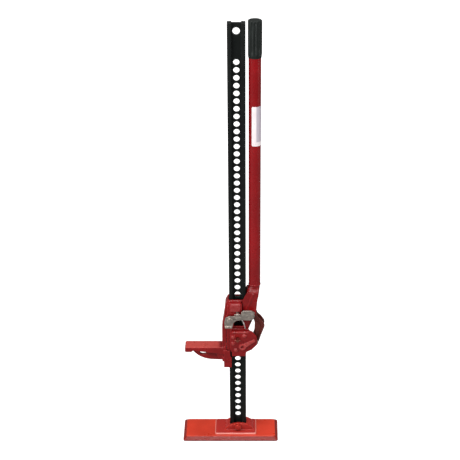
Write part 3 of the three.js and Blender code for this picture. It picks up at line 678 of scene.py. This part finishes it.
def make_pitmans():
    """Forged links with a shallow pocket along the outer face."""
    crank_x, crank_z, _, _ = axis_of("crank_pin_front")
    path = [(8, -30, 2), (15, -38, 4), (18.5, -49, 6), (14, -72, 4), (10, -86, 3)]
    spots = [(crank_x + x * MM, crank_z + z * MM, r * MM) for x, z, r in path]
    depth = 1.3 * MM
    for node, corner in (("pitman_front", 0), ("pitman_rear", 1)):
        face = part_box(node)[corner].y
        cast_piece(node, RED_PLATE_SHADE, voxel=0.7, rounding=3, pocket=(spots, face, depth))


def make_latch():
    """A pressed lever with a low rib along its arm and leg."""
    turn_x, turn_z, _, _ = axis_of("latch_bolt")
    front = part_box("reversing_latch")[0].y + 4 * MM
    ribs = []
    for path in (((14, 5, 2.4), (34, 7, 3.2), (62, 15, 4.5)), ((-5, -11, 2.6), (-3, -18, 3.2))):
        spots = [(turn_x + x * MM, turn_z + z * MM, r * MM) for x, z, r in path]
        ribs += strip(spots, front - 0.6 * MM, front + MM)
    cast_piece("reversing_latch", ZINC, voxel=0.6, rounding=4, added=ribs)


# ---- turned and threaded hardware, along Y but for the cross pins ----
def axis_of(node):
    """The X and Z of a round node's axis, and the Y of its front and back."""
    low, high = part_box(node)
    return (low.x + high.x) / 2, (low.z + high.z) / 2, low.y, high.y


def radius_of(node):
    low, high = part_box(node)
    return (high.z - low.z) / 2


def add_turned(node, rings, material, sharp_angle, closed=False):
    obj = add_object(node + "_turned", mesh_from(node, *skin(rings, closed)))
    stand_for(obj, node, material, sharp_angle)


def hexagon(flat, limit):
    """The radius of a hexagon with that half width across its flats, rounded off at limit."""
    def at(angle):
        turn = (angle + math.pi / 6) % (math.pi / 3) - math.pi / 6
        return min(flat / math.cos(turn), limit)
    return at


def hex_rings(x, z, outside, inside, radius):
    """A hexagon head from its chamfered outside face to its inside face."""
    flat = radius * math.cos(math.pi / 6)
    way = 1 if inside > outside else -1
    chamfers = [(0.0, 0.94 * flat), (0.12 * MM, 0.99 * flat), (0.55 * MM, 1.07 * flat), (1.0 * MM, radius)]
    profile = [(outside + way * depth, hexagon(flat, limit)) for depth, limit in chamfers]
    profile.append((inside - way * 0.15 * MM, hexagon(flat, radius)))
    profile.append((inside, hexagon(0.98 * flat, 0.98 * radius)))
    return [ring_y(x, y, z, shape, HEX_SIDES) for y, shape in profile]


def thread_rings(x, z, start, end, radius):
    """A screw thread, as rings whose radius rises and falls with the angle and the distance."""
    pitch, depth, spacing, last_rings = 1.25 * MM, 0.45, 0.25 * MM, 4
    count = max(2, int(abs(end - start) / spacing))
    rings = []
    for i in range(count + 1):
        y = start + (end - start) * i / count
        taper = 1 - min(1.0, (count - i) / last_rings)

        def at(angle, y=y, taper=taper):
            wave = abs((y / pitch + angle / (2 * math.pi)) % 1 * 2 - 1)
            return radius - (depth * wave + taper * 0.8) * MM
        rings.append(ring_y(x, y, z, at, HEX_SIDES))
    return rings


def make_hex_bolt(node, head_length, shank_radius, material=ZINC):
    """A bolt with its head on the front side. The lengths are in mm."""
    x, z, front, back = axis_of(node)
    head_back, shank = front + head_length * MM, shank_radius * MM
    fillet, threaded, plain = 0.3 * MM, 9 * MM, 1 * MM
    rings = hex_rings(x, z, front, head_back, radius_of(node))
    rings.append(ring_y(x, head_back, z, shank + fillet, HEX_SIDES))
    rings.append(ring_y(x, head_back + fillet, z, shank, HEX_SIDES))
    rings += thread_rings(x, z, max(head_back + plain, back - threaded), back, shank)
    add_turned(node, rings, material, THREAD_SHARP)


def make_nut(node, bore_radius, material=ZINC):
    x, z, front, back = axis_of(node)
    radius, bore, chamfer = radius_of(node), bore_radius * MM, 0.6 * MM
    middle = (front + back) / 2
    rings = hex_rings(x, z, back, middle, radius)[:-2] + hex_rings(x, z, front, middle, radius)[:-2][::-1]
    profile = [(front, bore + chamfer), (front + chamfer, bore),
               (back - chamfer, bore), (back, bore + chamfer)]
    rings += [ring_y(x, y, z, r, HEX_SIDES) for y, r in profile]
    add_turned(node, rings, material, THREAD_SHARP, closed=True)


def make_washer(node, bore_radius):
    x, z, front, back = axis_of(node)
    radius, bore, soft = radius_of(node), bore_radius * MM, 0.25 * MM
    profile = [(front + soft, radius), (back - soft, radius), (back, radius - soft), (back, bore + soft),
               (back - soft, bore), (front + soft, bore), (front, bore + soft), (front, radius - soft)]
    add_turned(node, [ring_y(x, y, z, r, HEX_SIDES) for y, r in profile], ZINC, SMOOTH_SHARP, closed=True)


def make_turned(node, profile, material):
    """A solid round piece: profile is (distance from the front in mm, radius in mm)."""
    x, z, front, _ = axis_of(node)
    rings = [ring_y(x, front + y * MM, z, r * MM, ROUND_SIDES) for y, r in profile]
    add_turned(node, rings, material, USUAL_SHARP)


def make_rivet(node, side):
    """A shouldered stub with a domed outer head. side is -1 for the front one and 1 for the rear one."""
    x, z, front, back = axis_of(node)
    head, shank, tall, soft = radius_of(node), 4.3 * MM, 2.7 * MM, 0.5 * MM
    outer, inner = (front, back) if side < 0 else (back, front)
    dome_steps, dome_share, steepest, smallest = 6, 0.75, 88, 0.2 * MM
    profile = []
    for i in range(dome_steps + 1):
        angle = math.radians(steepest - steepest * i / dome_steps)
        depth = tall * (1 - math.sin(angle)) * dome_share
        profile.append((outer - side * depth, max(smallest, head * math.cos(angle))))
    profile += [(outer - side * tall, head), (outer - side * tall, shank),
                (inner + side * soft, shank), (inner, shank - soft)]
    add_turned(node, [ring_y(x, y, z, r, ROUND_SIDES) for y, r in profile], ZINC, SMOOTH_SHARP)


def make_cross_pin(node, material):
    """A short pin along X, through a climbing pin."""
    low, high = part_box(node)
    y, z, radius, soft = (low.y + high.y) / 2, (low.z + high.z) / 2, radius_of(node), 0.5 * MM
    profile = [(low.x, radius - soft), (low.x + soft, radius),
               (high.x - soft, radius), (high.x, radius - soft)]
    add_turned(node, [ring_x(x, y, z, r, BOSS_SIDES) for x, r in profile], material, USUAL_SHARP)


# ---- springs ----
def wire_rings(points, radius):
    """Rings round a path of points, which don't twist along it."""
    sides = 12
    rings = []
    previous = None
    for i, point in enumerate(points):
        ahead = points[min(i + 1, len(points) - 1)] - points[max(i - 1, 0)]
        ahead.normalize()
        side = Vector((0, 1, 0)) if previous is None else previous
        side = (side - ahead * side.dot(ahead)).normalized()
        up = ahead.cross(side)
        previous = side
        turns = [2 * math.pi * k / sides for k in range(sides)]
        rings.append([point + radius * (side * math.cos(a) + up * math.sin(a)) for a in turns])
    return rings


def make_pin_spring(node):
    """A coil between the bore's inner end and the pin's shoulder."""
    x, z, front, back = axis_of(node)
    turns, turn_steps, wire = 4, 28, 0.75 * MM
    radius, length = radius_of(node) - wire, back - front - 2 * wire
    steps = turns * turn_steps
    points = []
    for i in range(steps + 1):
        share = i / steps
        angle = 2 * math.pi * turns * share
        y = front + wire + length * share
        points.append(Vector((x + radius * math.cos(angle), y, z + radius * math.sin(angle))))
    obj = add_object(node + "_wound", mesh_from(node, *skin(wire_rings(points, wire))))
    dress(obj, node, WIRE, WIRE_SHARP)
    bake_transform(obj)


def make_detent_spring():
    """A smooth curve of wire through five points, which are shares of the node's box."""
    low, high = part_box("detent_spring")
    wire, steps = 1.6 * MM, 8
    inset = Vector((wire, wire, wire))
    start, size = low + inset, high - low - 2 * inset
    shares = [(0.0, 1.0, 1.0), (0.21, 0.21, 0.86), (0.71, 0.0, 0.52), (1.0, 0.21, 0.1), (0.88, 0.84, 0.0)]
    guide = [Vector((start.x + a * size.x, start.y + b * size.y, start.z + c * size.z)) for a, b, c in shares]
    points = []
    for i in range(len(guide) - 1):
        a, b, c, d = guide[max(i - 1, 0)], guide[i], guide[i + 1], guide[min(i + 2, len(guide) - 1)]
        for k in range(steps):
            t = k / steps
            bend = (2 * a - 5 * b + 4 * c - d) * t * t + (3 * b - a - 3 * c + d) * t ** 3
            points.append(0.5 * (2 * b + (c - a) * t + bend))
    points.append(guide[-1])
    obj = add_object("detent_spring_wound", mesh_from("detent_spring", *skin(wire_rings(points, wire))))
    stand_for(obj, "detent_spring", WIRE, WIRE_SHARP)


# ---- handle ----
def make_tube():
    """A drawn tube, with a rolled bead at its foot."""
    low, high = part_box("handle_tube")
    x, radius = (low.x + high.x) / 2, (high.x - low.x) / 2
    inner, soft, bead, bead_rise, bead_steps = radius - 2.4 * MM, 0.7 * MM, 5 * MM, 0.8 * MM, 6
    profile = [(low.z, inner + soft), (low.z, radius - soft), (low.z + 0.3 * soft, radius)]
    for i in range(bead_steps + 1):
        turn = math.pi * i / bead_steps
        z = low.z + bead * (0.5 - 0.5 * math.cos(turn)) + 0.5 * soft
        profile.append((z, radius + bead_rise * math.sin(turn)))
    profile += [(high.z - soft, radius), (high.z, radius - soft), (high.z, inner + soft),
                (high.z - soft, inner), (low.z + soft, inner)]
    rings = [ring_z(x, z, r, TUBE_SIDES) for z, r in profile]
    obj = add_object("tube_drawn", mesh_from("tube_drawn", *skin(rings, closed=True)))
    stand_for(obj, "handle_tube", RED_TUBE, SMOOTH_SHARP)


def make_grip():
    """A moulded rubber sleeve closed at the top, with broad ribs along it."""
    low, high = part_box("handle_grip")
    x, outer = (low.x + high.x) / 2, (high.x - low.x) / 2
    tube_top, tube_radius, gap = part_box("handle_tube")[1].z, 15.9 * MM, 0.3 * MM
    inner, ribs, depth, rib_shape = tube_radius + gap, 11, 1.9 * MM, 0.45
    tall = high.z - low.z
    # height as a share of the grip's, radius, and how much of the ribs' depth shows there
    bands = [(0.0, inner + 0.1 * MM, 0), (0.003, inner + 0.5 * MM, 0), (0.03, outer - 1.1 * MM, 0),
             (0.06, outer - 0.5 * MM, 0), (0.085, outer - 0.35 * MM, 0), (0.11, outer, 1), (0.5, outer, 1),
             (0.95, outer, 1), (0.978, outer - 0.2 * MM, 1), (0.99, outer - 0.8 * MM, 0.8),
             (0.997, outer - 1.8 * MM, 0.5), (1.0, outer - 3.2 * MM, 0.2)]
    rings = [ring_z(x, tube_top + gap, r, GRIP_SIDES) for r in (0.5 * MM, inner)]
    for share, radius, ribbed in bands:
        def at(angle, radius=radius, ribbed=ribbed):
            wave = 0.5 + 0.5 * math.cos(ribs * angle)
            return radius - ribbed * depth * (1 - wave ** rib_shape)
        rings.append(ring_z(x, low.z + share * tall, at, GRIP_SIDES))
    obj = add_object("grip_moulded", mesh_from("grip_moulded", *skin(rings)))
    stand_for(obj, "handle_grip", RUBBER, GRIP_SHARP)


def make_label():
    """A thin film wrapped round part of the tube, with rounded corners."""
    low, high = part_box("handle_label")
    tube_low, tube_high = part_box("handle_tube")
    x, tube = (tube_low.x + tube_high.x) / 2, (tube_high.x - tube_low.x) / 2
    inner, outer, corner = tube + 0.1 * MM, tube + 0.4 * MM, 3 * MM
    start, end = math.radians(-119), math.radians(86)
    across, along = 48, 12
    verts, faces = [], []
    for layer in (inner, outer):
        for i in range(across + 1):
            share = i / across
            angle = start + (end - start) * share
            from_edge = min(share, 1 - share) * (end - start) * outer
            trim = corner - math.sqrt(max(0.0, corner ** 2 - max(0.0, corner - from_edge) ** 2))
            for k in range(along + 1):
                z = low.z + trim + (high.z - low.z - 2 * trim) * k / along
                verts.append((x + layer * math.cos(angle), layer * math.sin(angle), z))
    row, layer_size = along + 1, (across + 1) * (along + 1)
    for i in range(across):
        for k in range(along):
            a = i * row + k
            faces.append((a, a + 1, a + row + 1, a + row))
            faces.append(tuple(layer_size + n for n in (a, a + row, a + row + 1, a + 1)))
    border = [i * row for i in range(across + 1)] + [across * row + k for k in range(1, row)]
    border += [i * row + along for i in range(across - 1, -1, -1)] + list(range(along - 1, 0, -1))
    for n, a in enumerate(border):
        b = border[(n + 1) % len(border)]
        faces.append((a, b, b + layer_size, a + layer_size))
    obj = add_object("label_film_wrap", mesh_from("label_film_wrap", verts, faces))
    stand_for(obj, "handle_label", label_film(x, low.z, high.z), SMOOTH_SHARP)


# ---- light, floor and camera ----
def area_light(name, place, aim, size, power):
    """A rectangular lamp. Its place, aim and size are in metres, and its power is in watts."""
    data = bpy.data.lights.new(name, "AREA")
    data.shape = "RECTANGLE"
    data.size, data.size_y = size
    data.energy = power
    light = bpy.data.objects.new(name, data)
    light.location = place
    light.rotation_euler = (Vector(aim) - Vector(place)).to_track_quat("-Z", "Y").to_euler()
    bpy.context.scene.collection.objects.link(light)


def make_studio():
    """A wide floor, a white room and six soft lamps."""
    low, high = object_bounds()
    reach = 14.0
    corners = [(-reach, -reach, low.z), (reach, -reach, low.z), (reach, reach, low.z), (-reach, reach, low.z)]
    floor = add_object("floor", mesh_from("floor", corners, [(0, 1, 2, 3)]))
    floor.data.materials.append(floor_paint())
    make_world()
    middle = (0, 0, 0.55 * high.z)
    area_light("key", (-2.0, -2.0, 2.1), middle, (1.3, 2.4), 76)
    area_light("rim", (2.7, -0.8, 1.5), middle, (0.4, 2.4), 34)
    area_light("side", (-2.7, -0.9, 1.5), middle, (0.25, 2.4), 14)
    area_light("front", (0.6, -3.6, 3.4), middle, (2.4, 1.6), 40)
    area_light("edge", (0.0, -2.0, 2.9), (0, 0, 0.3 * high.z), (1.8, 0.22), 26)
    area_light("top", (0.0, 0.3, 3.6), (0, 0, 0), (3.0, 3.0), 75)


def make_world():
    """A white room to the camera, and a dim one in the object's reflections."""
    world = bpy.data.worlds.new("studio")
    world.use_nodes = True
    tree = world.node_tree
    dim = tree.nodes["Background"]
    dim.inputs["Color"].default_value = (1, 1, 1, 1)
    dim.inputs["Strength"].default_value = 0.16
    white = tree.nodes.new("ShaderNodeBackground")
    white.inputs["Strength"].default_value = 1.0
    white.inputs["Color"].default_value = (1, 1, 1, 1)
    mix = tree.nodes.new("ShaderNodeMixShader")
    rays = tree.nodes.new("ShaderNodeLightPath")
    tree.links.new(rays.outputs["Is Camera Ray"], mix.inputs[0])
    tree.links.new(dim.outputs[0], mix.inputs[1])
    tree.links.new(white.outputs[0], mix.inputs[2])
    tree.links.new(mix.outputs[0], tree.nodes["World Output"].inputs["Surface"])
    bpy.context.scene.world = world


def make_camera():
    """The photograph's view: straight in front and above, looking down."""
    look_down = 25.88
    data = bpy.data.cameras.new("view")
    data.lens = 94.5
    data.shift_x = -0.0435
    camera = bpy.data.objects.new("view", data)
    camera.location = (0.0343, -2.898, 2.053)
    camera.rotation_euler = (math.radians(90 - look_down), 0, 0)
    bpy.context.scene.collection.objects.link(camera)
    bpy.context.scene.camera = camera


make_camera()
make_studio()
bpy.context.scene.view_settings.view_transform = "Standard"

make_bar()
make_base()
make_large_runner()
make_small_runner()
make_socket()
make_pitmans()
make_latch()

make_tube()
make_grip()
make_label()
make_turned("handle_pin", [(0, 3.4), (0.5, 4), (30.5, 4), (31, 3.4)], RED_TUBE)

make_hex_bolt("base_bolt", head_length=6, shank_radius=4.8, material=BASE_RED)
make_hex_bolt("latch_bolt", head_length=4.2, shank_radius=4.0)
make_hex_bolt("pivot_bolt", head_length=5.5, shank_radius=4.6)
make_hex_bolt("shear_bolt", head_length=5.6, shank_radius=5.0)
make_nut("base_nut", bore_radius=5.2, material=BASE_RED)
make_nut("pivot_nut", bore_radius=5.3)
make_nut("shear_nut", bore_radius=5.3)
make_washer("latch_washer", bore_radius=4.3)
make_washer("shear_washer_front", bore_radius=5.3)
make_washer("shear_washer_rear", bore_radius=5.3)
make_rivet("crank_pin_front", side=-1)
make_rivet("crank_pin_rear", side=1)

# the lower pin is the same, with a tip that is shorter by so much
PIN_PROFILE = [(0, 3.2), (0.8, 4), (29.9, 4), (29.9, 7.1), (30.2, 7.4), (42.3, 7.4), (42.9, 7.2), (43.5, 6.4)]
LOWER_PIN_SHORTER = 2
make_turned("upper_climbing_pin", PIN_PROFILE, ZINC)
make_turned("lower_climbing_pin", [(max(0, y - LOWER_PIN_SHORTER), r) for y, r in PIN_PROFILE], SPRAYED_STEEL)
make_cross_pin("upper_cross_pin", ZINC)
make_cross_pin("lower_cross_pin", SPRAYED_STEEL)
make_pin_spring("upper_pin_spring")
make_pin_spring("lower_pin_spring")
make_detent_spring()
